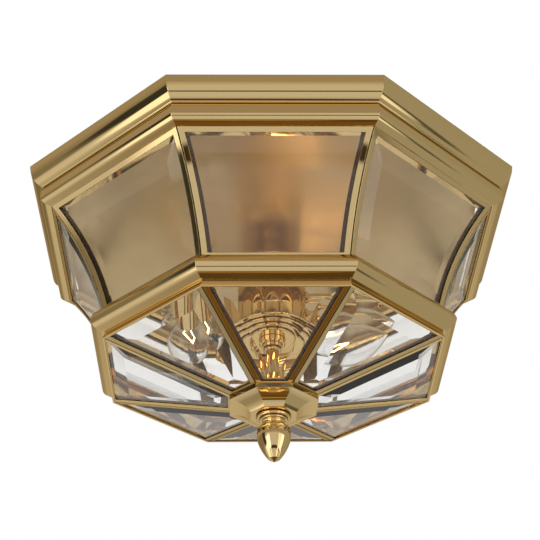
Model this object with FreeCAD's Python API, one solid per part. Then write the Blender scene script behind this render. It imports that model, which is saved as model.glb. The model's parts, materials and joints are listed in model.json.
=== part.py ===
import FreeCAD, Part
import math
import os

from FreeCAD import Vector

# Eight-sided flush mount ceiling light, in millimetres.
# The origin is the centre of the ceiling plane. +Z points up into the ceiling and the light hangs to -Z.
# An outline point is (a, z): a is the distance from the vertical axis to a flat side of the octagon.
# A run is a level distance and a drop is an upright one. The first flat side faces -Y.

SIDES = 8
LAMPS = 3
NUT_SIDES = 6
PLATE_STEPS = 4
GLASS_SPANS = 4

# Cut overrun and fit clearances
overrun = 2.0
glass_clearance = 0.1
sliding_clearance = 0.4
thread_clearance = 0.08
seat_clearance = 0.05

# Upper moulding
across_flats = 380.0
moulding_wall = 1.5
fascia_run = 1.8
fascia_drop = 8.6
fascia_middle_shares = (0.33, 0.51)
ovolo_run = 7.6
ovolo_drop = 8.0
ovolo_middle_shares = (0.39, 0.60)
fillet_run = 2.1
fillet_drop = 0.9
fillet_middle_shares = (0.46, 0.71)
shoulder_run = 2.0
shoulder_drop = 5.0
shoulder_middle_shares = (0.82, 0.45)
shoulder_height = 5.0
foot_run = 4.8
foot_drop = 4.4
foot_middle_shares = (0.40, 0.62)
soffit_run = 3.2
soffit_drop = 1.1
moulding_flange = 12.5

# Upper glass tier: the frames' outer faces follow one arc, hollow when seen from outside
tier_margin = 0.5
tier_run = 43.5
tier_height = 83.1
tier_sagitta = 5.5
upper_gap = 1.0
stile_face = 4.0
top_rail_face = 3.2
top_rail_engagement = 0.9
foot_rail_face = 2.8

# Frame channels and glass of both tiers: the panes' middles stand proud of their frames
frame_depth = 3.2
glass_thickness = 3.2
glass_edge_thickness = 1.4
glass_proud = 0.8
glass_engagement = 1.8
bevel_width = 12.7
strip_width = 6.0
strip_thickness = 1.0

# Lower band
band_wall = 1.5
band_overhang = 2.2
band_flange = 9.7
band_swell_run = 7.0
band_swell_drop = 9.7
band_swell_shares = (0.76, 0.54)
band_ovolo_run = 5.9
band_ovolo_drop = 7.2
band_ovolo_shares = (0.34, 0.61)
band_soffit_run = 3.2
band_soffit_drop = 1.6
band_cove_run = 1.6
band_cove_drop = 2.6
band_rim_run = 1.1
band_rim_drop = 2.7
band_lip = 0.6

# Lower glass tier: flat panels that fall from the band's lip to the hub
lower_inset = 0.3
lower_fall = 27.6
lower_gap = 1.0
lower_stile_face = 3.6
lower_rim_face = 0.8
lower_rim_engagement = 0.4
lower_hub_face = 1.2

# Hub
hub_a = 33.5
hub_lap = 6.0
hub_seat = 3.5
hub_rim_height = 4.0
hub_cove_run = 16.0
hub_cove_drop = 7.5
hub_cove_shares = (0.63, 0.32)
hub_wall = 2.2
hub_plate_margin = 0.5
hub_plate_thickness = 2.0

# Finial washer and finial
washer_r = 13.25
washer_height = 2.9
washer_round = 1.1
washer_ring_r = 11.0
washer_ring_height = 1.7
washer_ring_round = 0.7
finial_neck_r = 9.0
finial_waist_r = 7.6
finial_waist_height = 4.2
finial_brow_r = 9.6
finial_brow_height = 1.8
finial_shoulder_r = 12.2
finial_belly_r = 12.9
finial_belly_share = 0.30
finial_belly_height = 12.2
finial_taper_r = 11.7
finial_taper_height = 12.3
finial_nose_r = 8.1
finial_nose_share = 0.6
finial_point_r = 4.6
finial_point_height = 2.7
finial_engagement = 11.3
finial_bore_spare = 2.5

# Centre rod, its nuts and the neck under the pan
rod_r = 5.0
rod_bore_r = 3.2
rod_top_reach = 16.0
lock_nut_across = 17.0
lock_nut_height = 4.0
neck_r = 9.0
neck_height = 6.0

# Ceiling pan and gasket
pan_margin = 13.0
pan_draft = 4.0
pan_depth = 25.0
pan_wall = 1.0
pan_rim_lip = 6.0
gasket_thickness = 2.0
gasket_margin = 1.0

# Mounting strap, studs and screws
strap_end_margin = 11.55
strap_width = 22.0
strap_thickness = 2.0
strap_centre_r = 6.0
box_screw_spacing = 88.9
box_slot_length = 14.0
box_slot_r = 2.4
stud_inset = 9.45
stud_r = 2.0
stud_reach = 0.6
cap_nut_across = 9.0
cap_nut_height = 3.4
cap_nut_dome_r = 3.9
ground_screw_x = 22.0
ground_screw_r = 1.8
ground_screw_length = 6.0
ground_head_r = 4.0
ground_head_height = 2.0

# Drum, stepped plate and rod collar
drum_r = 27.0
drum_height = 69.0
drum_wall = 1.0
drum_shoulder_r = 12.0
plate_r = 33.3
plate_step_run = 5.0
plate_step_height = 1.75
plate_edge_round = 0.8
collar_r = 10.2
collar_height = 5.0
collar_step_r = 8.0
collar_step_height = 3.0
collar_ring_r = 7.0
collar_ring_height = 3.0
collar_round = 0.9

# Lamps: the first one points along +Y and the others are turned copies.
# Places along a lamp are measured from its sleeve's mouth, forwards.
lamp_offset = 67.0
lamp_rise = 11.0
sleeve_r = 9.25
sleeve_wall = 0.8
sleeve_length = 60.0
bracket_thickness = 2.0
bracket_rim = 1.2
bracket_bar_height = 12.0
arm_azimuth = 240.0
arm_rise = 17.5
arm_spacing = 12.0
arm_r = 1.85
arm_bore_r = 1.1
arm_boss_r = 5.0
arm_nut_across = 6.5
arm_nut_height = 3.0
arm_flange_r = 3.3
arm_flange_thickness = 2.0
stem_r = 3.2
stem_bore_r = 2.0
socket_set_back = 2.0
socket_floor = 6.0
shell_wall = 0.45
shell_floor_gap = 1.9
contact_r = 3.0
contact_thickness = 1.4
contact_gap = 0.3

# Candle bulb
bulb_base_r = 5.95
bulb_base_wall = 0.3
bulb_base_recess = 2.0
bulb_base_length = 19.0
bulb_base_taper = 3.4
bulb_base_foot_r = 3.2
bulb_contact_r = 2.6
bulb_contact_height = 1.8
bulb_wall = 0.9
bulb_neck_length = 6.0
bulb_neck_reach = 0.8
bulb_r = 17.4
bulb_length = 72.2
bulb_outline_shares = ((0.24, 0.72), (0.47, 1.0), (0.76, 0.71), (0.945, 0.20))
stem_mount_r = 2.0
stem_mount_share = 0.18
filament_lead_r = 0.35
filament_r = 0.55
filament_start_shares = (0.28, -0.21)
filament_vertex_shares = (0.515, 0.20)
filament_end_shares = (0.39, 0.28)

# Upper moulding and upper tier, worked out from the sizes above
half_angle = math.pi / SIDES
fascia_a = across_flats / 2
ovolo_top_a = fascia_a - fascia_run
ovolo_foot_a = ovolo_top_a - ovolo_run
ovolo_foot_z = -fascia_drop - ovolo_drop
recess_a = ovolo_foot_a - fillet_run
recess_z = ovolo_foot_z - fillet_drop
shoulder_a = recess_a + shoulder_run
shoulder_top_z = recess_z - shoulder_drop
shoulder_foot_z = shoulder_top_z - shoulder_height
soffit_a = shoulder_a - foot_run
soffit_z = shoulder_foot_z - foot_drop
foot_a = soffit_a - soffit_run
foot_z = soffit_z - soffit_drop
tier_top_a = foot_a - tier_margin
tier_foot_a = tier_top_a - tier_run
tier_foot_z = foot_z - tier_height
tier_chord = math.hypot(tier_run, tier_height)
tier_radius = (tier_chord ** 2 / 4 + tier_sagitta ** 2) / (2 * tier_sagitta)
tier_reach = tier_radius - tier_sagitta
tier_centre_a = (tier_top_a + tier_foot_a) / 2 + tier_reach * tier_height / tier_chord
tier_centre_z = (foot_z + tier_foot_z) / 2 - tier_reach * tier_run / tier_chord

# Glass depths, measured inwards from the frames' outer faces
glass_back_depth = glass_thickness - glass_proud
glass_edge_depth = glass_back_depth - glass_edge_thickness
slot_bevel_rise = (glass_edge_depth + glass_proud) * glass_engagement / bevel_width
slot_front_depth = glass_edge_depth - slot_bevel_rise - glass_clearance
slot_back_depth = glass_back_depth + glass_clearance

# Upper windows: their top and foot, and their sides' inset from the mitre planes
upper_edge = upper_gap / 2
window_top = foot_z - top_rail_face
window_foot = tier_foot_z + foot_rail_face
window_edge = upper_edge + stile_face

# Lower band, lower tier and hub
band_top_a = tier_foot_a + band_overhang
band_wide_a = band_top_a + band_swell_run
band_wide_z = tier_foot_z - band_swell_drop
band_soffit_a = band_wide_a - band_ovolo_run
band_soffit_z = band_wide_z - band_ovolo_drop
band_foot_a = band_soffit_a - band_soffit_run
band_foot_z = band_soffit_z - band_soffit_drop
band_cove_a = band_foot_a - band_cove_run
band_cove_z = band_foot_z - band_cove_drop
band_rim_z = band_cove_z - band_rim_drop
lower_rim_a = band_cove_a - band_lip
lower_rim_z = band_rim_z + lower_inset
lower_slope = lower_fall / (lower_rim_a - hub_a)
lower_lift = math.hypot(1, lower_slope)
lower_edge = lower_gap / 2
lower_hub_a = hub_a - hub_lap
hub_rim_z = lower_rim_z - lower_fall - hub_rim_height
hub_flat_a = hub_a - hub_cove_run
hub_flat_z = hub_rim_z - hub_cove_drop
hub_plate_a = hub_a + hub_plate_margin
washer_foot_z = hub_flat_z - washer_height
finial_top_z = washer_foot_z - washer_ring_height
finial_brow_z = finial_top_z - finial_waist_height
finial_shoulder_z = finial_brow_z - finial_brow_height
finial_belly_z = finial_shoulder_z - finial_belly_height * finial_belly_share
finial_taper_z = finial_shoulder_z - finial_belly_height
finial_nose_z = finial_taper_z - finial_taper_height * finial_nose_share
finial_point_z = finial_taper_z - finial_taper_height
finial_tip_z = finial_point_z - finial_point_height
rod_foot_z = finial_top_z - finial_engagement
finial_bore_z = rod_foot_z - finial_bore_spare

# Pan, drum and lamps
pan_rim_a = recess_a - moulding_wall - pan_margin
pan_floor_a = pan_rim_a - pan_draft
pan_floor_z = -pan_depth
pan_seat_z = pan_floor_z + pan_wall
strap_length = box_screw_spacing + 2 * strap_end_margin
stud_spacing = box_screw_spacing - 2 * stud_inset
neck_top_z = pan_floor_z - lock_nut_height
drum_top_z = neck_top_z - neck_height
drum_foot_z = drum_top_z - drum_height
plate_foot_z = drum_foot_z - plate_step_height * PLATE_STEPS
collar_foot_z = plate_foot_z - collar_height
collar_step_z = collar_foot_z - collar_step_height
collar_ring_z = collar_step_z - collar_ring_height
rod_bore_fit_r = rod_r + seat_clearance
stud_bore_r = stud_r + seat_clearance
cap_nut_z = pan_floor_z - cap_nut_height
stud_foot_z = cap_nut_z - stud_reach
lamp_z = drum_foot_z + lamp_rise
arm_lower_z = drum_foot_z + arm_rise
arm_upper_z = arm_lower_z + arm_spacing
arm_angle = math.radians(arm_azimuth)
arm_way = Vector(math.cos(arm_angle), math.sin(arm_angle), 0)
leaf_way = Vector(-arm_way.y, arm_way.x, 0)
arm_bore_fit_r = arm_r + seat_clearance
bracket_disc_r = sleeve_r + bracket_rim
bracket_bend = Vector(bracket_disc_r - lamp_offset, -sleeve_length, 0)
arm_reach = bracket_bend.dot(arm_way)
leaf_end = arm_reach + bracket_thickness
arm_end = leaf_end + arm_nut_height
bulb_base_shoulder = -bulb_base_recess - bulb_base_length
bulb_base_foot = bulb_base_shoulder - bulb_base_taper
bulb_contact_foot = bulb_base_foot - bulb_contact_height
contact_top = bulb_contact_foot - contact_gap
socket_bed = contact_top - contact_thickness
socket_foot = socket_bed - socket_floor
socket_mouth = -bulb_base_recess - socket_set_back
shell_foot = socket_bed + shell_floor_gap
shell_bore_r = bulb_base_r + thread_clearance
socket_bore_r = shell_bore_r + shell_wall + seat_clearance
socket_r = sleeve_r - sleeve_wall - sliding_clearance
bulb_neck_r = bulb_base_r - bulb_base_wall - seat_clearance
bulb_neck_foot = -bulb_base_recess - bulb_neck_length
bulb_throat = bulb_neck_reach - bulb_base_recess


def at(a, z):
    """A point of the first flat side's outline."""
    return Vector(0, -a, z)


def between(start, end, shares):
    """A point between two outline points, at one share of the run and another of the drop."""
    run_share, drop_share = shares
    return Vector(0, start.y + (end.y - start.y) * run_share, start.z + (end.z - start.z) * drop_share)


def line(start, end):
    return Part.makeLine(start, end)


def arc(start, middle, end):
    return Part.Arc(start, middle, end).toShape()


def bowed(start, end, shares):
    return arc(start, between(start, end, shares), end)


def closed_face(edges):
    return Part.Face(Part.Wire(edges))


def polygon_face(points):
    return Part.Face(Part.makePolygon(points + [points[0]]))


def wedge(inset):
    """One eighth of the plan, with its two sides drawn in from the mitre planes."""
    far = across_flats
    apex = inset / math.sin(half_angle)
    side = (far - apex) * math.tan(half_angle)
    foot = finial_tip_z
    corners = [Vector(0, -apex, foot), Vector(-side, -far, foot), Vector(side, -far, foot)]
    return polygon_face(corners).extrude(Vector(0, 0, overrun - foot))


def straight_length(face, inset=0.0):
    """The face as one straight length of the octagon, cut at its mitres."""
    start = face.copy()
    start.translate(Vector(-fascia_a, 0, 0))
    return start.extrude(Vector(across_flats, 0, 0)).common(wedge(inset)).Solids[0]


def turn(shape, angle):
    copy = shape.copy()
    copy.rotate(Vector(0, 0, 0), Vector(0, 0, 1), angle)
    return copy


def turned_copies(shape, count):
    return [turn(shape, 360.0 * index / count) for index in range(count)]


def around(shape):
    """Eight separate copies, one on each side."""
    return Part.makeCompound(turned_copies(shape, SIDES))


def joined_ring(face):
    """One piece with the face's outline on all eight sides."""
    lengths = turned_copies(straight_length(face), SIDES)
    return lengths[0].multiFuse(lengths[1:]).removeSplitter()


def cylinder(radius, top, foot, x=0.0):
    return Part.makeCylinder(radius, top - foot, Vector(x, 0, foot))


def through_hole(radius, x=0.0):
    """A cut down the whole height of the light."""
    return cylinder(radius, overrun, finial_tip_z, x)


def turned(points):
    """A turned solid. Each step is a corner (radius, z), or an arc as (middle radius, z, end radius, z)."""
    corners = [Vector(points[0][0], 0, points[0][1])]
    edges = []
    for step in points[1:]:
        end = Vector(step[-2], 0, step[-1])
        if len(step) > 2:
            edges.append(arc(corners[-1], Vector(step[0], 0, step[1]), end))
        else:
            edges.append(line(corners[-1], end))
        corners.append(end)
    edges.append(line(corners[-1], corners[0]))
    return closed_face(edges).revolve(Vector(0, 0, 0), Vector(0, 0, 1), 360)


def hex_nut(across, height, foot, bore_r, x=0.0):
    reach = across / 2 / math.cos(math.pi / NUT_SIDES)
    points = []
    for index in range(NUT_SIDES):
        angle = 2 * math.pi * index / NUT_SIDES
        points.append(Vector(x + reach * math.cos(angle), reach * math.sin(angle), foot))
    nut = polygon_face(points).extrude(Vector(0, 0, height))
    return nut.cut(cylinder(bore_r, foot + height + overrun, foot - overrun, x))


# Upper moulding

def moulding_face():
    top = at(fascia_a, 0)
    ovolo_top = at(ovolo_top_a, -fascia_drop)
    ovolo_foot = at(ovolo_foot_a, ovolo_foot_z)
    recess = at(recess_a, recess_z)
    shoulder = at(shoulder_a, shoulder_top_z)
    shoulder_foot = at(shoulder_a, shoulder_foot_z)
    soffit = at(soffit_a, soffit_z)
    foot = at(foot_a, foot_z)
    flange = at(foot_a - moulding_flange, foot_z)
    inner_flange = at(foot_a - moulding_flange, foot_z + moulding_wall)
    inner_foot = at(foot_a - moulding_wall, foot_z + moulding_wall)
    inner_shoulder = at(recess_a - moulding_wall, shoulder_foot_z)
    inner_recess = at(recess_a - moulding_wall, recess_z)
    inner_fascia = at(ovolo_top_a - moulding_wall, -fascia_drop)
    inner_top = at(fascia_a - moulding_wall, 0)
    return closed_face([
        bowed(top, ovolo_top, fascia_middle_shares),
        bowed(ovolo_top, ovolo_foot, ovolo_middle_shares),
        bowed(ovolo_foot, recess, fillet_middle_shares),
        bowed(recess, shoulder, shoulder_middle_shares),
        line(shoulder, shoulder_foot),
        bowed(shoulder_foot, soffit, foot_middle_shares),
        line(soffit, foot),
        line(foot, flange),
        line(flange, inner_flange),
        line(inner_flange, inner_foot),
        line(inner_foot, inner_shoulder),
        line(inner_shoulder, inner_recess),
        line(inner_recess, inner_fascia),
        line(inner_fascia, inner_top),
        line(inner_top, top),
    ])


def upper_moulding():
    return around(straight_length(moulding_face()))


# Upper glass tier

def tier_point(z, depth):
    """The point at height z of the arc that lies depth behind the frames' outer faces."""
    radius = tier_radius + depth
    return at(tier_centre_a - math.sqrt(radius ** 2 - (z - tier_centre_z) ** 2), z)


def tier_arc(depth, start_z, end_z):
    middle_z = (start_z + end_z) / 2
    return arc(tier_point(start_z, depth), tier_point(middle_z, depth), tier_point(end_z, depth))


def tier_slab(front, back, top, foot, inset):
    """A bent slab between two depths and two heights, with its sides inset from the mitre planes."""
    face = closed_face([
        tier_arc(front, top, foot),
        line(tier_point(foot, front), tier_point(foot, back)),
        tier_arc(back, foot, top),
        line(tier_point(top, back), tier_point(top, front)),
    ])
    return straight_length(face, inset)


def side_x(a, inset):
    """Distance from the middle of a flat side to the plane that lies inset from its mitre."""
    return a * math.tan(half_angle) - inset / math.cos(half_angle)


def side_curve(hand, depth, top, foot, inset):
    """A side edge that lies depth behind the frames' outer faces, square to the edge on those faces."""
    centre = at(tier_centre_a, tier_centre_z)
    points = []
    for index in range(GLASS_SPANS + 1):
        face_point = tier_point(top + (foot - top) * index / GLASS_SPANS, 0)
        point = centre + (face_point - centre) * ((tier_radius + depth) / tier_radius)
        points.append(Vector(hand * side_x(-face_point.y, inset), point.y, point.z))
    curve = Part.BSplineCurve()
    curve.interpolate(points)
    return curve.toShape()


def end_face(curves, end):
    """The flat face between the same ends of a left, a right, a further right and a further left curve."""
    return polygon_face([curve.Vertexes[end].Point for curve in curves])


def bent_block(outlines):
    """A bent solid through four-sided outlines, the rearmost first.

    An outline is a depth, a top, a foot and an inset.
    """
    left = [side_curve(-1, *outline) for outline in outlines]
    right = [side_curve(1, *outline) for outline in outlines]
    faces = [Part.makeRuledSurface(left[0], right[0]), Part.makeRuledSurface(left[-1], right[-1])]
    for near in range(len(outlines) - 1):
        far = near + 1
        faces.append(Part.makeRuledSurface(left[near], left[far]))
        faces.append(Part.makeRuledSurface(right[near], right[far]))
        for end in (0, -1):
            faces.append(end_face((left[near], right[near], right[far], left[far]), end))
    shell = Part.makeShell(faces)
    shell.sewShape()
    block = Part.makeSolid(shell)
    if block.Volume < 0:
        block.reverse()
    return block


def upper_rim(clearance):
    """Top, foot and side inset of the panes' rims, or of the channels that hold them."""
    top = window_top + top_rail_engagement
    foot = window_foot - glass_engagement
    inset = window_edge - glass_engagement
    return top + clearance, foot - clearance, inset - clearance


def upper_frame():
    """A frame whose window and glass channel are cut square to its outer face."""
    window = (window_top, window_foot, window_edge)
    channel = upper_rim(glass_clearance)
    body = tier_slab(0, frame_depth, foot_z, tier_foot_z, upper_edge)
    opening = bent_block([(frame_depth + overrun, *window), (-overrun, *window)])
    slot = bent_block([(slot_back_depth, *channel), (slot_front_depth, *channel)])
    return body.cut(opening).cut(slot)


def upper_glass():
    """Bent panes whose outer faces fall to a thin edge all round."""
    rim = upper_rim(0)
    middle = upper_rim(-bevel_width)
    return around(bent_block([(glass_back_depth, *rim), (glass_edge_depth, *rim), (-glass_proud, *middle)]))


def corner_strip(slab, middle):
    """A strip bent round a corner: the slab's two side margins, joined on the mitre plane."""
    margins = sorted(slab.cut(middle).Solids, key=lambda margin: margin.CenterOfMass.x)
    left = turn(margins[0], 360.0 / SIDES)
    return margins[-1].fuse(left).removeSplitter()


def upper_corner_strip():
    front = frame_depth + seat_clearance
    back = front + strip_thickness
    slab = tier_slab(front, back, foot_z, tier_foot_z, 0)
    middle = tier_slab(front - overrun, back + overrun, foot_z + overrun, tier_foot_z - overrun, strip_width)
    return corner_strip(slab, middle)


# Lower band

def band_face():
    top = at(band_top_a, tier_foot_z)
    wide = at(band_wide_a, band_wide_z)
    soffit = at(band_soffit_a, band_soffit_z)
    foot = at(band_foot_a, band_foot_z)
    cove_top = at(band_cove_a, band_foot_z)
    cove_foot = at(band_cove_a, band_cove_z)
    rim = at(band_cove_a + band_rim_run, band_rim_z)
    lip_foot = at(lower_rim_a, band_rim_z)
    inner_z = band_soffit_z + 2 * band_wall
    lip_top = at(lower_rim_a, inner_z)
    inner_foot = at(band_foot_a, inner_z)
    inner_wide = at(band_wide_a - 2 * band_wall, band_wide_z)
    inner_top = at(band_top_a - band_wall, tier_foot_z - band_wall)
    inner_flange = at(band_top_a - band_flange, tier_foot_z - band_wall)
    flange = at(band_top_a - band_flange, tier_foot_z)
    return closed_face([
        bowed(top, wide, band_swell_shares),
        bowed(wide, soffit, band_ovolo_shares),
        line(soffit, foot),
        line(foot, cove_top),
        line(cove_top, cove_foot),
        line(cove_foot, rim),
        line(rim, lip_foot),
        line(lip_foot, lip_top),
        line(lip_top, inner_foot),
        line(inner_foot, inner_wide),
        line(inner_wide, inner_top),
        line(inner_top, inner_flange),
        line(inner_flange, flange),
        line(flange, top),
    ])


def lower_band():
    return around(straight_length(band_face()))


# Lower glass tier

def lower_z(a, depth):
    """Height of the sloping plane that lies depth above the lower frames' outer faces."""
    return lower_rim_z - (lower_rim_a - a) * lower_slope + depth * lower_lift


def lower_slab(front, back, outer_a, inner_a, inset):
    face = polygon_face([
        at(outer_a, lower_z(outer_a, front)),
        at(inner_a, lower_z(inner_a, front)),
        at(inner_a, lower_z(inner_a, back)),
        at(outer_a, lower_z(outer_a, back)),
    ])
    return straight_length(face, inset)


def lower_rim(clearance):
    """Outer distance, inner distance and side inset of the panes' rims, or of the channels that hold them."""
    outer = lower_rim_a - lower_rim_face + lower_rim_engagement
    inner = hub_a + lower_hub_face - glass_engagement
    inset = lower_edge + lower_stile_face - glass_engagement
    return outer + clearance, inner - clearance, inset - clearance


def lower_frame():
    body = lower_slab(0, frame_depth, lower_rim_a, lower_hub_a, lower_edge)
    window = lower_slab(-overrun, frame_depth + overrun, lower_rim_a - lower_rim_face, hub_a + lower_hub_face,
                        lower_edge + lower_stile_face)
    slot = lower_slab(slot_front_depth, slot_back_depth, *lower_rim(glass_clearance))
    return body.cut(window).cut(slot)


def lower_outline(outer_a, inner_a, inset, depth):
    corners = []
    for a, hand in ((outer_a, -1), (outer_a, 1), (inner_a, 1), (inner_a, -1)):
        corners.append(Vector(hand * side_x(a, inset), -a, lower_z(a, depth)))
    return Part.makePolygon(corners + [corners[0]])


def lower_glass():
    back = lower_outline(*lower_rim(0), glass_back_depth)
    edge = lower_outline(*lower_rim(0), glass_edge_depth)
    front = lower_outline(*lower_rim(-bevel_width), -glass_proud)
    slab = Part.makeLoft([back, edge], True, True)
    bevelled = Part.makeLoft([edge, front], True, True)
    return around(slab.fuse(bevelled).removeSplitter())


def lower_corner_strip():
    back = frame_depth + strip_thickness
    slab = lower_slab(frame_depth, back, lower_rim_a, hub_plate_a, 0)
    middle = lower_slab(frame_depth - overrun, back + overrun, lower_rim_a + overrun, hub_plate_a - overrun,
                        strip_width)
    return corner_strip(slab, middle)


# Hub, washer and finial

def hub_cap():
    seat_a = hub_a - hub_seat
    rim_top = at(hub_a, lower_z(hub_a, 0))
    rim_foot = at(hub_a, hub_rim_z)
    cove_foot = at(hub_flat_a, hub_flat_z)
    centre_foot = at(0, hub_flat_z)
    centre_top = at(0, hub_flat_z + hub_wall)
    inner_flat = at(hub_flat_a - hub_wall, hub_flat_z + hub_wall)
    seat = at(seat_a, lower_z(seat_a, 0))
    face = closed_face([
        line(rim_top, rim_foot),
        bowed(rim_foot, cove_foot, hub_cove_shares),
        line(cove_foot, centre_foot),
        line(centre_foot, centre_top),
        line(centre_top, inner_flat),
        line(inner_flat, seat),
        line(seat, rim_top),
    ])
    return joined_ring(face).cut(through_hole(rod_r + sliding_clearance))


def hub_plate():
    flat_z = lower_z(lower_hub_a, frame_depth)
    rim_z = lower_z(hub_plate_a, frame_depth)
    face = polygon_face([
        at(hub_plate_a, rim_z + hub_plate_thickness),
        at(hub_plate_a, rim_z),
        at(lower_hub_a, flat_z),
        at(0, flat_z),
        at(0, flat_z + hub_plate_thickness),
        at(lower_hub_a, flat_z + hub_plate_thickness),
    ])
    return joined_ring(face).cut(through_hole(rod_r + sliding_clearance))


def finial_washer():
    bore = rod_r + sliding_clearance
    return turned([
        (bore, hub_flat_z),
        (washer_r - washer_round, hub_flat_z),
        (washer_r, (hub_flat_z + washer_foot_z) / 2, washer_r - washer_round, washer_foot_z),
        (washer_ring_r - washer_ring_round, washer_foot_z),
        (washer_ring_r, (washer_foot_z + finial_top_z) / 2, washer_ring_r - washer_ring_round, finial_top_z),
        (bore, finial_top_z),
    ])


def finial():
    bore = rod_r + thread_clearance
    return turned([
        (bore, finial_top_z),
        (finial_neck_r, finial_top_z),
        (finial_waist_r, (finial_top_z + finial_brow_z) / 2, finial_brow_r, finial_brow_z),
        (finial_shoulder_r, finial_shoulder_z),
        (finial_belly_r, finial_belly_z, finial_taper_r, finial_taper_z),
        (finial_nose_r, finial_nose_z, finial_point_r, finial_point_z),
        (0, finial_tip_z),
        (0, finial_bore_z),
        (bore, finial_bore_z),
    ])


# Centre rod, pan and mounting

def centre_rod():
    rod_top_z = pan_seat_z + rod_top_reach
    return cylinder(rod_r, rod_top_z, rod_foot_z).cut(cylinder(rod_bore_r, rod_top_z + overrun, drum_foot_z))


def rod_lock_nuts():
    upper = hex_nut(lock_nut_across, lock_nut_height, pan_seat_z, rod_bore_fit_r)
    lower = hex_nut(lock_nut_across, lock_nut_height, neck_top_z, rod_bore_fit_r)
    return Part.makeCompound([upper, lower])


def drum_neck():
    return cylinder(neck_r, neck_top_z, drum_top_z).cut(through_hole(rod_bore_fit_r))


def stud_places():
    return (-stud_spacing / 2, stud_spacing / 2)


def ceiling_pan():
    lip_a = pan_rim_a - pan_rim_lip
    rim_z = -gasket_thickness
    face = polygon_face([
        at(lip_a, rim_z),
        at(pan_rim_a, rim_z),
        at(pan_floor_a, pan_floor_z),
        at(0, pan_floor_z),
        at(0, pan_seat_z),
        at(pan_floor_a - pan_wall, pan_seat_z),
        at(pan_rim_a - 2 * pan_wall, rim_z - pan_wall),
        at(lip_a, rim_z - pan_wall),
    ])
    holes = [through_hole(stud_bore_r, x) for x in stud_places()]
    return joined_ring(face).cut(holes + [through_hole(rod_bore_fit_r)])


def ceiling_gasket():
    outer_a = pan_rim_a - gasket_margin
    inner_a = pan_rim_a - pan_rim_lip
    rim_z = -gasket_thickness
    return joined_ring(polygon_face([at(outer_a, 0), at(outer_a, rim_z), at(inner_a, rim_z), at(inner_a, 0)]))


def box_slot(centre):
    """A round-ended slot for a screw of the outlet box."""
    half_run = box_slot_length / 2 - box_slot_r
    depth = strap_thickness + 2 * overrun
    foot = -strap_thickness - overrun
    middle = Part.makeBox(2 * half_run, 2 * box_slot_r, depth, Vector(centre - half_run, -box_slot_r, foot))
    ends = [cylinder(box_slot_r, foot + depth, foot, centre + side * half_run) for side in (-1, 1)]
    return middle.multiFuse(ends)


def mounting_strap():
    strap = Part.makeBox(strap_length, strap_width, strap_thickness,
                         Vector(-strap_length / 2, -strap_width / 2, -strap_thickness))
    cuts = [box_slot(hand * box_screw_spacing / 2) for hand in (-1, 1)]
    cuts += [through_hole(stud_bore_r, x) for x in stud_places()]
    cuts.append(through_hole(ground_screw_r + seat_clearance, ground_screw_x))
    cuts.append(through_hole(strap_centre_r))
    return strap.cut(cuts)


def mounting_studs():
    return Part.makeCompound([cylinder(stud_r, 0, stud_foot_z, x) for x in stud_places()])


def pan_cap_nut(x):
    hexagon = hex_nut(cap_nut_across, cap_nut_height, cap_nut_z, stud_bore_r, x)
    ball = Part.makeSphere(cap_nut_dome_r, Vector(x, 0, cap_nut_z))
    dome = ball.common(cylinder(cap_nut_dome_r, cap_nut_z, cap_nut_z - cap_nut_dome_r, x))
    bore = cylinder(stud_bore_r, cap_nut_z + overrun, stud_foot_z - seat_clearance, x)
    return hexagon.fuse(dome.cut(bore)).removeSplitter()


def pan_cap_nuts():
    return Part.makeCompound([pan_cap_nut(x) for x in stud_places()])


def ground_screw():
    shank = cylinder(ground_screw_r, 0, -ground_screw_length, ground_screw_x)
    head = cylinder(ground_head_r, -strap_thickness, -strap_thickness - ground_head_height, ground_screw_x)
    return shank.fuse(head).removeSplitter()


# Drum, stepped plate and collar

def drum_solid(inset):
    """The drum's outer form drawn in by inset: upright sides and a rounded shoulder."""
    radius = drum_r - inset
    shoulder = drum_shoulder_r - inset
    top = drum_top_z - inset
    bend = shoulder * (1 - math.cos(math.pi / 4))
    return turned([
        (0, drum_foot_z),
        (radius, drum_foot_z),
        (radius, top - shoulder),
        (radius - bend, top - bend, radius - shoulder, top),
        (0, top),
    ])


def arm_point(distance, z):
    return Vector(0, 0, z) + arm_way * distance


def arm_cylinder(radius, start, end, z):
    return Part.makeCylinder(radius, end - start, arm_point(start, z), arm_way)


def drum():
    shell = drum_solid(0).cut(drum_solid(drum_wall))
    holes = [through_hole(rod_bore_fit_r)]
    for z in (arm_upper_z, arm_lower_z):
        holes += turned_copies(arm_cylinder(arm_bore_r, drum_r - 2 * drum_wall, drum_r + overrun, z), LAMPS)
    return shell.cut(holes)


def stepped_plate():
    discs = []
    for index in range(PLATE_STEPS):
        radius = plate_r - index * plate_step_run
        top = drum_foot_z - index * plate_step_height
        foot = top - plate_step_height
        discs.append(turned([
            (0, top),
            (radius - plate_edge_round, top),
            (radius, (top + foot) / 2, radius - plate_edge_round, foot),
            (0, foot),
        ]))
    return discs[0].multiFuse(discs[1:]).removeSplitter().cut(through_hole(rod_bore_fit_r))


def rod_collar():
    ring_edge_r = collar_ring_r - collar_round
    return turned([
        (rod_bore_fit_r, plate_foot_z),
        (collar_r, plate_foot_z),
        (collar_r, collar_foot_z + collar_round),
        (collar_r - collar_round, collar_foot_z),
        (collar_step_r, collar_foot_z),
        (collar_step_r, collar_step_z),
        (ring_edge_r, collar_step_z),
        (collar_ring_r, (collar_step_z + collar_ring_z) / 2, ring_edge_r, collar_ring_z),
        (rod_bore_fit_r, collar_ring_z),
    ])


# Arms and brackets

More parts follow.
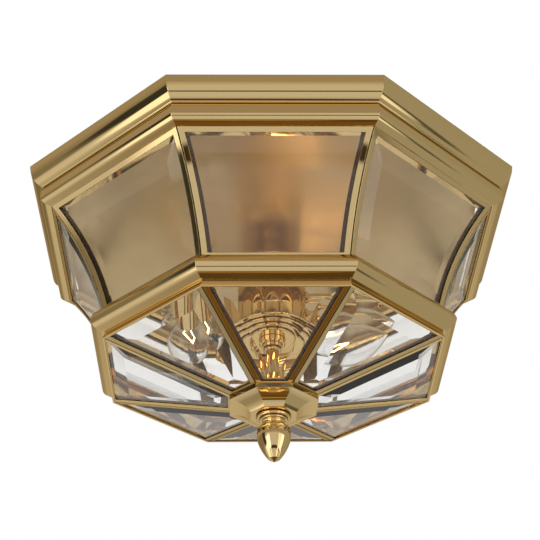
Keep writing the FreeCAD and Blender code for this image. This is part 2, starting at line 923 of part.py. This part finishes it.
def bracket_bar():
    """The bent bar of a bracket: square to the lamp, then bent to stand square to the arms."""
    rearward = Vector(0, -1, 0)
    foot = (lamp_z + (arm_upper_z + arm_lower_z) / 2 - bracket_bar_height) / 2
    foot_place = Vector(0, 0, foot)
    inner_lamp = Vector(-lamp_offset, -sleeve_length, foot)
    inner_bend = bracket_bend + foot_place
    inner_leaf = arm_point(arm_reach, foot)
    bisector = (arm_way + rearward).normalize()
    outer_bend = inner_bend + bisector * (bracket_thickness / bisector.dot(arm_way))
    outer_leaf = arm_point(leaf_end, foot)
    outer_lamp = inner_lamp + rearward * bracket_thickness
    plan = [inner_lamp, inner_bend, inner_leaf, outer_leaf, outer_bend, outer_lamp]
    return polygon_face(plan).extrude(Vector(0, 0, bracket_bar_height))


def bracket_web():
    """The part of the leaf between the two arms."""
    side = leaf_way * arm_boss_r
    near = arm_point(arm_reach, arm_lower_z)
    far = arm_point(leaf_end, arm_lower_z)
    return polygon_face([near - side, near + side, far + side, far - side]).extrude(Vector(0, 0, arm_spacing))


def bracket():
    """A disc behind the sleeve and a bent leaf that both arms pass through."""
    forward = Vector(0, 1, 0)
    rear = -sleeve_length - bracket_thickness
    rear_centre = Vector(-lamp_offset, rear, lamp_z)
    plate = Part.makeCylinder(bracket_disc_r, bracket_thickness, rear_centre, forward)
    bosses = [arm_cylinder(arm_boss_r, arm_reach, leaf_end, z) for z in (arm_upper_z, arm_lower_z)]
    plate = plate.multiFuse(bosses + [bracket_bar(), bracket_web()]).removeSplitter()
    holes = [arm_cylinder(arm_bore_fit_r, arm_reach - overrun, leaf_end + overrun, z)
             for z in (arm_upper_z, arm_lower_z)]
    holes.append(Part.makeCylinder(stem_bore_r, bracket_thickness + 2 * overrun,
                                   rear_centre - forward * overrun, forward))
    return plate.cut(holes)


def arm_tube(z):
    """One hollow arm, from the drum's face through the bracket's leaf and its nut."""
    tube = arm_cylinder(arm_r, drum_r - drum_wall, arm_end, z)
    tube = tube.cut(arm_cylinder(arm_bore_r, drum_r - 2 * drum_wall, arm_end + overrun, z))
    return tube.cut(cylinder(drum_r, drum_top_z, drum_foot_z))


def arm_nut(z):
    nut = hex_nut(arm_nut_across, arm_nut_height, 0, arm_bore_fit_r)
    nut.rotate(Vector(0, 0, 0), Vector(0, 1, 0), 90)
    nut = turn(nut, arm_azimuth)
    nut.translate(arm_point(leaf_end, z))
    return nut


def arm_flange(z):
    disc = arm_cylinder(arm_flange_r, drum_r - drum_wall, drum_r + arm_flange_thickness, z)
    disc = disc.cut(arm_cylinder(arm_bore_fit_r, 0, drum_r + 2 * arm_flange_thickness, z))
    return disc.cut(cylinder(drum_r, drum_top_z, drum_foot_z))


def arm_set(make_piece):
    """The same piece on the upper and lower arm of every lamp."""
    pieces = []
    for z in (arm_upper_z, arm_lower_z):
        pieces += turned_copies(make_piece(z), LAMPS)
    return Part.makeCompound(pieces)


# Sockets

def on_lamp(shape):
    """Turn a solid drawn upright on the axis to lie along the first lamp."""
    laid = shape.copy()
    laid.rotate(Vector(0, 0, 0), Vector(1, 0, 0), -90)
    laid.translate(Vector(-lamp_offset, 0, lamp_z))
    return laid


def lamp_set(shape):
    """Three separate copies, one on each lamp."""
    return Part.makeCompound(turned_copies(shape, LAMPS))


def tube(radius, bore, top, foot):
    return cylinder(radius, top, foot).cut(cylinder(bore, top + overrun, foot - overrun))


def socket_body():
    cup = cylinder(socket_r, socket_mouth, socket_foot)
    return cup.cut(cylinder(socket_bore_r, socket_mouth + overrun, socket_bed))


def socket_shell():
    return tube(shell_bore_r + shell_wall, shell_bore_r, socket_mouth, shell_foot)


# Candle bulbs

def bulb_base():
    inner_r = bulb_base_r - bulb_base_wall
    return on_lamp(turned([
        (0, bulb_base_foot),
        (bulb_base_foot_r, bulb_base_foot),
        (bulb_base_r, bulb_base_shoulder),
        (bulb_base_r, -bulb_base_recess),
        (inner_r, -bulb_base_recess),
        (inner_r, bulb_base_shoulder),
        (0, bulb_base_shoulder),
    ]))


def bulb_contact():
    return on_lamp(cylinder(bulb_contact_r, bulb_base_foot, bulb_contact_foot))


def bulb_outline(inset):
    """Half outline of the bulb's glass, drawn in by inset, from its neck's foot to its tip."""
    foot = Vector(bulb_neck_r - inset, 0, bulb_neck_foot)
    points = [Vector(bulb_neck_r - inset, 0, bulb_throat)]
    for length_share, radius_share in bulb_outline_shares:
        points.append(Vector(bulb_r * radius_share - inset, 0, bulb_throat + bulb_length * length_share))
    points.append(Vector(0, 0, bulb_throat + bulb_length - inset))
    curve = Part.BSplineCurve()
    curve.interpolate(points)
    return [line(foot, points[0]), curve.toShape()], foot, points[-1]


def bulb_glass():
    outer, outer_foot, outer_tip = bulb_outline(0)
    inner, inner_foot, inner_tip = bulb_outline(bulb_wall)
    face = closed_face(outer + [line(outer_tip, inner_tip)] + inner[::-1] + [line(inner_foot, outer_foot)])
    return on_lamp(face.revolve(Vector(0, 0, 0), Vector(0, 0, 1), 360))


def in_bulb(shares):
    length_share, side_share = shares
    return Vector(bulb_r * side_share, 0, bulb_throat + bulb_length * length_share)


def wire_between(start, end, radius):
    way = end - start
    return Part.makeCylinder(radius, way.Length, start, way)


def bulb_filament():
    """The glass mount, two lead wires and the bent filament, in one piece."""
    start = in_bulb(filament_start_shares)
    vertex = in_bulb(filament_vertex_shares)
    end = in_bulb(filament_end_shares)
    mount_top = bulb_throat + bulb_length * stem_mount_share
    mount = cylinder(stem_mount_r, mount_top, bulb_base_shoulder)
    lead_foot = Vector(0, 0, mount_top - stem_mount_r)
    lead_side = Vector(stem_mount_r / 2, 0, 0)
    parts = [
        wire_between(lead_foot - lead_side, start, filament_lead_r),
        wire_between(lead_foot + lead_side, end, filament_lead_r),
        wire_between(start, vertex, filament_r),
        wire_between(vertex, end, filament_r),
    ]
    parts += [Part.makeSphere(filament_r, point) for point in (start, vertex, end)]
    return on_lamp(mount.multiFuse(parts))


def node_shapes():
    shapes = {
        "mounting_strap": mounting_strap(),
        "mounting_studs": mounting_studs(),
        "ground_screw": ground_screw(),
        "ceiling_gasket": ceiling_gasket(),
        "ceiling_pan": ceiling_pan(),
        "pan_cap_nuts": pan_cap_nuts(),
        "centre_rod": centre_rod(),
        "rod_lock_nuts": rod_lock_nuts(),
        "drum_neck": drum_neck(),
        "drum": drum(),
        "stepped_plate": stepped_plate(),
        "rod_collar": rod_collar(),
        "socket_arms": arm_set(arm_tube),
        "arm_flanges": arm_set(arm_flange),
        "arm_nuts": arm_set(arm_nut),
        "socket_brackets": lamp_set(bracket()),
        "socket_stems": lamp_set(on_lamp(tube(stem_r, stem_bore_r, socket_foot, -sleeve_length))),
        "socket_sleeves": lamp_set(on_lamp(tube(sleeve_r, sleeve_r - sleeve_wall, 0, -sleeve_length))),
        "socket_bodies": lamp_set(on_lamp(socket_body())),
        "socket_shells": lamp_set(on_lamp(socket_shell())),
        "socket_contacts": lamp_set(on_lamp(cylinder(contact_r, contact_top, socket_bed))),
        "upper_moulding": upper_moulding(),
        "upper_frames": around(upper_frame()),
        "upper_glass": upper_glass(),
        "upper_corner_strips": around(upper_corner_strip()),
        "lower_band": lower_band(),
        "lower_frames": around(lower_frame()),
        "lower_glass": lower_glass(),
        "lower_corner_strips": around(lower_corner_strip()),
        "hub_cap": hub_cap(),
        "hub_plate": hub_plate(),
        "finial_washer": finial_washer(),
        "finial": finial(),
    }
    bulb_pieces = {
        "bulb_glass": bulb_glass(),
        "bulb_base": bulb_base(),
        "bulb_contact": bulb_contact(),
        "bulb_filament": bulb_filament(),
    }
    for name, piece in bulb_pieces.items():
        for index, copy in enumerate(turned_copies(piece, LAMPS)):
            shapes[name + "_" + str(index + 1)] = copy
    return shapes


os.makedirs("parts", exist_ok=True)
for node, shape in node_shapes().items():
    volume = sum(solid.Volume for solid in shape.Solids)
    print(node, len(shape.Solids), "solids", round(volume), "mm3", "valid", shape.isValid())
    shape.exportStep("parts/" + node + ".step")
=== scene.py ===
import json
import math

import bpy
from mathutils import Matrix, Vector

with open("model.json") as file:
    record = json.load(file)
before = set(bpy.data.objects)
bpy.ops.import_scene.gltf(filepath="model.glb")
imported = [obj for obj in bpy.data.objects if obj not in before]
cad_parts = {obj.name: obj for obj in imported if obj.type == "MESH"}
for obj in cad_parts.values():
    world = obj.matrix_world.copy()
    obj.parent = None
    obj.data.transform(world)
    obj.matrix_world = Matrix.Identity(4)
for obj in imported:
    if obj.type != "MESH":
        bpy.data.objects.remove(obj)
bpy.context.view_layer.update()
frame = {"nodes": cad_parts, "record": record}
nodes = frame["nodes"]

WHITE = (1.0, 1.0, 1.0)

# Camera, fitted to the photograph's edges: place in metres and degrees, lens and sensor in millimetres
CAMERA_DISTANCE = 1.1489
CAMERA_AZIMUTH = -1.619
CAMERA_RISE = 34.155
CAMERA_ROLL = -0.969
LENS = 91.69
SENSOR = 36.0
SHIFT_X = -0.0005
SHIFT_Y = -0.0878

# Stage: a square floor, in metres, with a faint glow of its own that keeps it pale
FLOOR_Z = -1.7
FLOOR_HALF = 6.0
FLOOR_GLOW = 0.4
FLOOR_COLOUR = (0.90, 0.90, 0.89)
FLOOR_ROUGHNESS = 0.7

# Soft boxes: name, place, width and height in metres, and power in watts. They all face one point.
LIGHTS = (
    ("key_left", (-1.6, -1.5, -0.9), 1.2, 1.2, 4.0),
    ("fill_right", (1.8, -1.0, -0.7), 0.9, 1.4, 4.0),
)
LIGHT_TARGET = (0.0, 0.0, -0.1)

# Light around the object in reflections: brightness against height, from -1 straight down to 1 straight up.
# The front's levels turn into the back's over a range of the direction's Y.
FRONT_HEIGHTS = (
    (-1.0, 0.40),
    (-0.97, 0.50),
    (-0.90, 0.61),
    (-0.1, 0.60),
    (0.10, 0.60),
    (0.22, 0.36),
    (1.0, 0.34),
)
BACK_HEIGHTS = (
    (-1.0, 0.03),
    (-0.84, 0.06),
    (-0.70, 0.45),
    (-0.50, 0.60),
    (0.0, 0.55),
    (0.60, 0.40),
    (1.0, 0.3),
)
BACK_RANGE = (-0.1, 0.2)

# Tints of that light below and above eye level, and the range of height over which one turns into the other
LOW_TINT = (1.0, 0.98, 0.95)
HIGH_TINT = (1.0, 0.87, 0.67)
TINT_RANGE = (0.0, 0.25)

# Studio walls and panels seen in reflections, each laid over the ones before it. In degrees, each has its
# left and right azimuth, from the front towards +X, its lowest and highest rise, how far its sides lean for
# each degree of rise, and its edges' blur. Its colour comes last.
PANELS = (
    (90.0, 200.0, -90.0, -58.0, 0.0, 4.0, (0.17, 0.09, 0.02)),
    (-200.0, -90.0, -90.0, -58.0, 0.0, 4.0, (0.17, 0.09, 0.02)),
    (70.0, 150.0, -58.0, 60.0, 0.0, 6.0, (0.37, 0.36, 0.31)),
    (-150.0, -70.0, -66.0, -40.0, 0.0, 4.0, (0.28, 0.24, 0.17)),
    (-150.0, -70.0, -49.0, -43.0, 0.0, 5.0, (0.48, 0.46, 0.42)),
    (-150.0, -70.0, -43.0, -22.0, 0.0, 6.0, (0.66, 0.64, 0.60)),
    (-150.0, -70.0, -16.0, 16.0, 0.0, 5.0, (0.23, 0.21, 0.16)),
    (-200.0, 200.0, -90.0, -78.0, 0.0, 1.0, (0.10, 0.055, 0.015)),
    (-200.0, 200.0, -92.0, -86.0, 0.0, 1.0, (0.38, 0.24, 0.08)),
    (-60.0, 60.0, -37.0, -30.5, 0.0, 1.0, (0.05, 0.035, 0.02)),
    (-84.8, -62.0, -19.0, 15.0, 0.0, 1.0, (0.04, 0.04, 0.035)),
    (-72.0, -30.0, -62.0, -20.0, 0.64, 1.0, (1.4, 1.38, 1.3)),
    (64.5, 68.5, -38.0, -17.0, -0.9, 1.0, (0.10, 0.10, 0.08)),
    (50.0, 64.5, -40.0, -26.0, -0.9, 1.0, (1.1, 1.08, 1.0)),
    (-46.0, -32.0, -62.0, 5.0, 0.0, 2.0, (1.2, 1.2, 1.15)),
    (26.0, 52.0, -48.0, -38.0, 0.0, 3.0, (1.2, 1.2, 1.15)),
    (32.0, 46.0, -62.0, 5.0, 0.0, 2.0, (1.2, 1.2, 1.15)),
)

# Brass finishes: colour, lowest and highest roughness, radius of the rounded edges in metres, and strength of
# the waves
BRASSES = {
    "polished_brass": ((0.88, 0.66, 0.33), 0.03, 0.06, 0.0005, 0.05),
    # dark_brass is kept dark to paint the shade that falls in the narrow gaps between the frames
    "dark_brass": ((0.22, 0.15, 0.07), 0.2, 0.35, 0.0003, 0.05),
    "satin_brass": ((0.72, 0.56, 0.34), 0.30, 0.38, 0.0005, 0.04),
    "plain_brass": ((0.80, 0.62, 0.30), 0.25, 0.35, 0.0003, 0.03),
}

# Glass: colour and index of refraction
GLASSES = {
    "clear_glass": ((0.99, 0.995, 0.993), 1.5),
    "bulb_glass": ((0.995, 0.995, 0.995), 1.45),
}

# Other finishes: colour, how metallic it is, and middle roughness
PLAINS = {
    "nickel_cap": ((0.72, 0.70, 0.66), 1.0, 0.25),
    "zinc_steel": ((0.62, 0.63, 0.64), 1.0, 0.35),
    "green_steel": ((0.05, 0.30, 0.10), 0.6, 0.35),
    "foam_gasket": ((0.03, 0.03, 0.03), 0.0, 0.85),
    "socket_plastic": ((0.80, 0.77, 0.70), 0.0, 0.5),
}
PLAIN_ROUGHNESS_SPREAD = 0.05

FILAMENT_COLOUR = (1.0, 0.60, 0.22)
FILAMENT_GLOW = 10.0
FILAMENT_ROUGHNESS = 0.4

# Surface noise: how fine it is on brass and on the other finishes, and the range that most values lie in
POLISH_SCALE = 70.0
PLAIN_SCALE = 120.0
NOISE_DETAIL = 4.0
NOISE_RANGE = (0.3, 0.7)

# Waves of formed sheet: how fine they are, and their height in metres
WAVE_SCALE = 22.0
WAVE_DETAIL = 1.0
WAVE_HEIGHT = 0.001

# How much of each colour brass keeps where it is seen at a very flat angle
GRAZING_TINT = (0.72, 0.62, 0.45)

# Painted shade in the creases, where the brass colour darkens as the surroundings close in: how far a crease
# reaches, in metres, how much of each colour it leaves, and the open share of the surroundings at which the
# painted shade is full and at which it is gone
CREASE_REACH = 0.0016
PAINTED_CREASE_SHADES = (0.26, 0.15, 0.06)
CREASE_RANGE = (0.35, 0.75)

# Rays that each point of brass sends out to find its edges and its creases
EDGE_SAMPLES = 4
CREASE_SAMPLES = 6


def set_camera():
    azimuth = math.radians(CAMERA_AZIMUTH)
    rise = math.radians(CAMERA_RISE)
    roll = math.radians(CAMERA_ROLL)
    back = Vector((math.sin(azimuth) * math.cos(rise), -math.cos(azimuth) * math.cos(rise), -math.sin(rise)))
    forward = -back
    right = forward.cross(Vector((0, 0, 1))).normalized()
    up = right.cross(forward)
    across = right * math.cos(roll) + up * math.sin(roll)
    upward = up * math.cos(roll) - right * math.sin(roll)
    data = bpy.data.cameras.new("camera")
    data.sensor_width = SENSOR
    data.lens = LENS
    data.shift_x = SHIFT_X
    data.shift_y = SHIFT_Y
    camera = bpy.data.objects.new("camera", data)
    rotation = Matrix((across, upward, back)).transposed().to_4x4()
    camera.matrix_world = Matrix.Translation(back * CAMERA_DISTANCE) @ rotation
    bpy.context.scene.collection.objects.link(camera)
    bpy.context.scene.camera = camera


def socket(sockets, key):
    """A socket by its index, its identifier or its name."""
    if isinstance(key, int):
        return sockets[key]
    for one in sockets:
        if one.identifier == key:
            return one
    return sockets[key]


def opaque(colour):
    """A colour with full opacity."""
    return colour + (1.0,)


class Nodes:
    """A short way to make and join shader nodes."""

    def __init__(self, tree):
        self.tree = tree
        tree.nodes.clear()

    def add(self, kind, values=None, links=None, **settings):
        node = self.tree.nodes.new(kind)
        for name, value in settings.items():
            setattr(node, name, value)
        for key, value in (values or {}).items():
            socket(node.inputs, key).default_value = value
        for key, source in (links or {}).items():
            self.tree.links.new(source, socket(node.inputs, key))
        return node

    def blend(self, factor, first, second):
        """Mix two colours, each a fixed colour or an output."""
        values = {}
        links = {"Factor_Float": factor}
        for key, colour in (("A_Color", first), ("B_Color", second)):
            if isinstance(colour, tuple):
                values[key] = opaque(colour)
            else:
                links[key] = colour
        node = self.add("ShaderNodeMix", values, links, data_type="RGBA")
        return socket(node.outputs, "Result_Color")

    def ranged(self, source, span, low=0.0, high=1.0):
        """Map a number from a span of values to low and high, and hold it there outside the span."""
        values = {"From Min": span[0], "From Max": span[1], "To Min": low, "To Max": high}
        return self.add("ShaderNodeMapRange", values, {"Value": source}).outputs["Result"]

    def finish(self, shader):
        self.add("ShaderNodeOutputMaterial", links={"Surface": shader.outputs[0]})


def new_material(name):
    material = bpy.data.materials.new(name)
    material.use_nodes = True
    return material, Nodes(material.node_tree)


def surface_noise(make, scale, detail):
    place = make.add("ShaderNodeTexCoord").outputs["Object"]
    noise = make.add("ShaderNodeTexNoise", {"Scale": scale, "Detail": detail}, {"Vector": place})
    return noise.outputs["Fac"]


def uneven(make, scale, low, high):
    """A roughness that drifts between two values over the surface."""
    return make.ranged(surface_noise(make, scale, NOISE_DETAIL), NOISE_RANGE, low, high)


def brass(name, colour, low_roughness, high_roughness, edge, wave):
    """Metal with a slightly uneven polish, rounded edges, painted shade darkening its creases and the waves
    of formed sheet.
    """
    material, make = new_material(name)
    roughness = uneven(make, POLISH_SCALE, low_roughness, high_roughness)
    rounded = make.add("ShaderNodeBevel", {"Radius": edge}, samples=EDGE_SAMPLES).outputs["Normal"]
    height = surface_noise(make, WAVE_SCALE, WAVE_DETAIL)
    waves = make.add("ShaderNodeBump", {"Strength": wave, "Distance": WAVE_HEIGHT},
                     {"Height": height, "Normal": rounded}).outputs["Normal"]
    # Painted shade: the base colour darkens in creases and recesses where little of the surroundings is open
    open_share = make.add("ShaderNodeAmbientOcclusion", {"Distance": CREASE_REACH}, samples=CREASE_SAMPLES)
    unshaded = make.ranged(open_share.outputs["AO"], CREASE_RANGE)
    painted_crease_shade = tuple(part * shade for part, shade in zip(colour, PAINTED_CREASE_SHADES))
    base = make.blend(unshaded, painted_crease_shade, colour)
    shader = make.add("ShaderNodeBsdfPrincipled", {"Metallic": 1.0, "Specular Tint": opaque(GRAZING_TINT)},
                      {"Base Color": base, "Roughness": roughness, "Normal": waves})
    make.finish(shader)
    return material


def plain(name, colour, metallic, roughness):
    material, make = new_material(name)
    rough = uneven(make, PLAIN_SCALE, roughness - PLAIN_ROUGHNESS_SPREAD, roughness + PLAIN_ROUGHNESS_SPREAD)
    shader = make.add("ShaderNodeBsdfPrincipled", {"Base Color": opaque(colour), "Metallic": metallic},
                      {"Roughness": rough})
    make.finish(shader)
    return material


def glass(name, colour, ior):
    """Clear glass that lets direct light through."""
    material, make = new_material(name)
    shader = make.add("ShaderNodeBsdfPrincipled", {"Base Color": opaque(colour), "Roughness": 0.0, "IOR": ior,
                                                   "Transmission Weight": 1.0})
    clear = make.add("ShaderNodeBsdfTransparent", {"Color": opaque(colour)})
    path = make.add("ShaderNodeLightPath")
    mix = make.add("ShaderNodeMixShader", links={0: path.outputs["Is Shadow Ray"], 1: shader.outputs[0],
                                                 2: clear.outputs[0]})
    make.finish(mix)
    return material


def glowing(name, colour, roughness, glow):
    """A surface that also gives off light of its own colour."""
    material, make = new_material(name)
    shader = make.add("ShaderNodeBsdfPrincipled", {"Base Color": opaque(colour), "Roughness": roughness,
                                                   "Emission Color": opaque(colour),
                                                   "Emission Strength": glow})
    make.finish(shader)
    return material


def make_materials():
    materials = {"filament": glowing("filament", FILAMENT_COLOUR, FILAMENT_ROUGHNESS, FILAMENT_GLOW)}
    for build, finishes in ((brass, BRASSES), (glass, GLASSES), (plain, PLAINS)):
        for name, values in finishes.items():
            materials[name] = build(name, *values)
    return materials


def dress_nodes(materials):
    """Give each CAD node the material of its slot."""
    for entry in frame["record"]["subparts"]:
        piece = nodes[entry["node"]]
        piece.data.materials.clear()
        piece.data.materials.append(materials[entry["material_slot"]])


def make_floor():
    mesh = bpy.data.meshes.new("floor")
    corners = [(-FLOOR_HALF, -FLOOR_HALF, FLOOR_Z), (FLOOR_HALF, -FLOOR_HALF, FLOOR_Z),
               (FLOOR_HALF, FLOOR_HALF, FLOOR_Z), (-FLOOR_HALF, FLOOR_HALF, FLOOR_Z)]
    mesh.from_pydata(corners, [], [(0, 1, 2, 3)])
    floor = bpy.data.objects.new("floor", mesh)
    bpy.context.scene.collection.objects.link(floor)
    mesh.materials.append(glowing("floor", FLOOR_COLOUR, FLOOR_ROUGHNESS, FLOOR_GLOW))
    floor.visible_glossy = False


def level(make, source, stops):
    """A brightness read from stops, each a place from -1 to 1 and a value."""
    node = make.add("ShaderNodeValToRGB", links={0: make.ranged(source, (-1.0, 1.0))})
    for where, _ in stops[1:-1]:
        node.color_ramp.elements.new((where + 1) / 2)
    for element, (_, value) in zip(node.color_ramp.elements, stops):
        element.color = opaque((value, value, value))
    return node.outputs["Color"]


def product(make, first, second, kind="ShaderNodeMath"):
    return make.add(kind, links={0: first, 1: second}, operation="MULTIPLY").outputs[0]


def between(make, angle, low, high, blur):
    """One inside a range of degrees and none outside, with soft edges."""
    after_low = make.ranged(angle, (math.radians(low - blur), math.radians(low + blur)))
    before_high = make.ranged(angle, (math.radians(high - blur), math.radians(high + blur)), 1.0, 0.0)
    return product(make, after_low, before_high)


def leaning(make, azimuth, rise, lean):
    """The azimuth that a panel's sides are measured on."""
    if lean == 0:
        return azimuth
    back = make.add("ShaderNodeMath", {1: -lean}, {0: rise}, operation="MULTIPLY").outputs[0]
    return make.add("ShaderNodeMath", links={0: azimuth, 1: back}, operation="ADD").outputs[0]


def studio_room(make):
    """The studio's colour in each direction."""
    way = make.add("ShaderNodeTexCoord").outputs["Generated"]
    axes = make.add("ShaderNodeSeparateXYZ", links={"Vector": way}).outputs
    forward = make.add("ShaderNodeMath", {1: -1.0}, {0: axes["Y"]}, operation="MULTIPLY").outputs[0]
    azimuth = make.add("ShaderNodeMath", links={0: axes["X"], 1: forward}, operation="ARCTAN2").outputs[0]
    rise = make.add("ShaderNodeMath", links={0: axes["Z"]}, operation="ARCSINE").outputs[0]
    behind = make.ranged(axes["Y"], BACK_RANGE)
    room = make.blend(behind, level(make, axes["Z"], FRONT_HEIGHTS), level(make, axes["Z"], BACK_HEIGHTS))
    tint = make.blend(make.ranged(axes["Z"], TINT_RANGE), LOW_TINT, HIGH_TINT)
    room = product(make, room, tint, "ShaderNodeVectorMath")
    for left, right, low, top, lean, blur, shade in PANELS:
        across = between(make, leaning(make, azimuth, rise, lean), left, right, blur)
        inside = product(make, across, between(make, rise, low, top, blur))
        room = make.blend(inside, room, shade)
    return room


def make_world():
    """White where the lens or clear glass looks straight at it, and a dimmer studio in every reflection."""
    world = bpy.data.worlds.new("studio")
    world.use_nodes = True
    bpy.context.scene.world = world
    make = Nodes(world.node_tree)
    path = make.add("ShaderNodeLightPath")
    depths = {0: path.outputs["Glossy Depth"], 1: path.outputs["Diffuse Depth"]}
    bounced = make.add("ShaderNodeMath", links=depths, operation="ADD", use_clamp=True)
    colour = make.blend(bounced.outputs[0], WHITE, studio_room(make))
    background = make.add("ShaderNodeBackground", {"Strength": 1.0}, {"Color": colour})
    make.add("ShaderNodeOutputWorld", links={"Surface": background.outputs[0]})


def area_light(name, place, width, height, power):
    data = bpy.data.lights.new(name, "AREA")
    data.shape = "RECTANGLE"
    data.size = width
    data.size_y = height
    data.energy = power
    light = bpy.data.objects.new(name, data)
    way = Vector(LIGHT_TARGET) - Vector(place)
    light.matrix_world = Matrix.Translation(place) @ way.to_track_quat("-Z", "Y").to_matrix().to_4x4()
    bpy.context.scene.collection.objects.link(light)


def make_lights():
    for name, place, width, height, power in LIGHTS:
        area_light(name, place, width, height, power)


bpy.context.scene.view_settings.view_transform = "Standard"
set_camera()
dress_nodes(make_materials())
make_floor()
make_world()
make_lights()
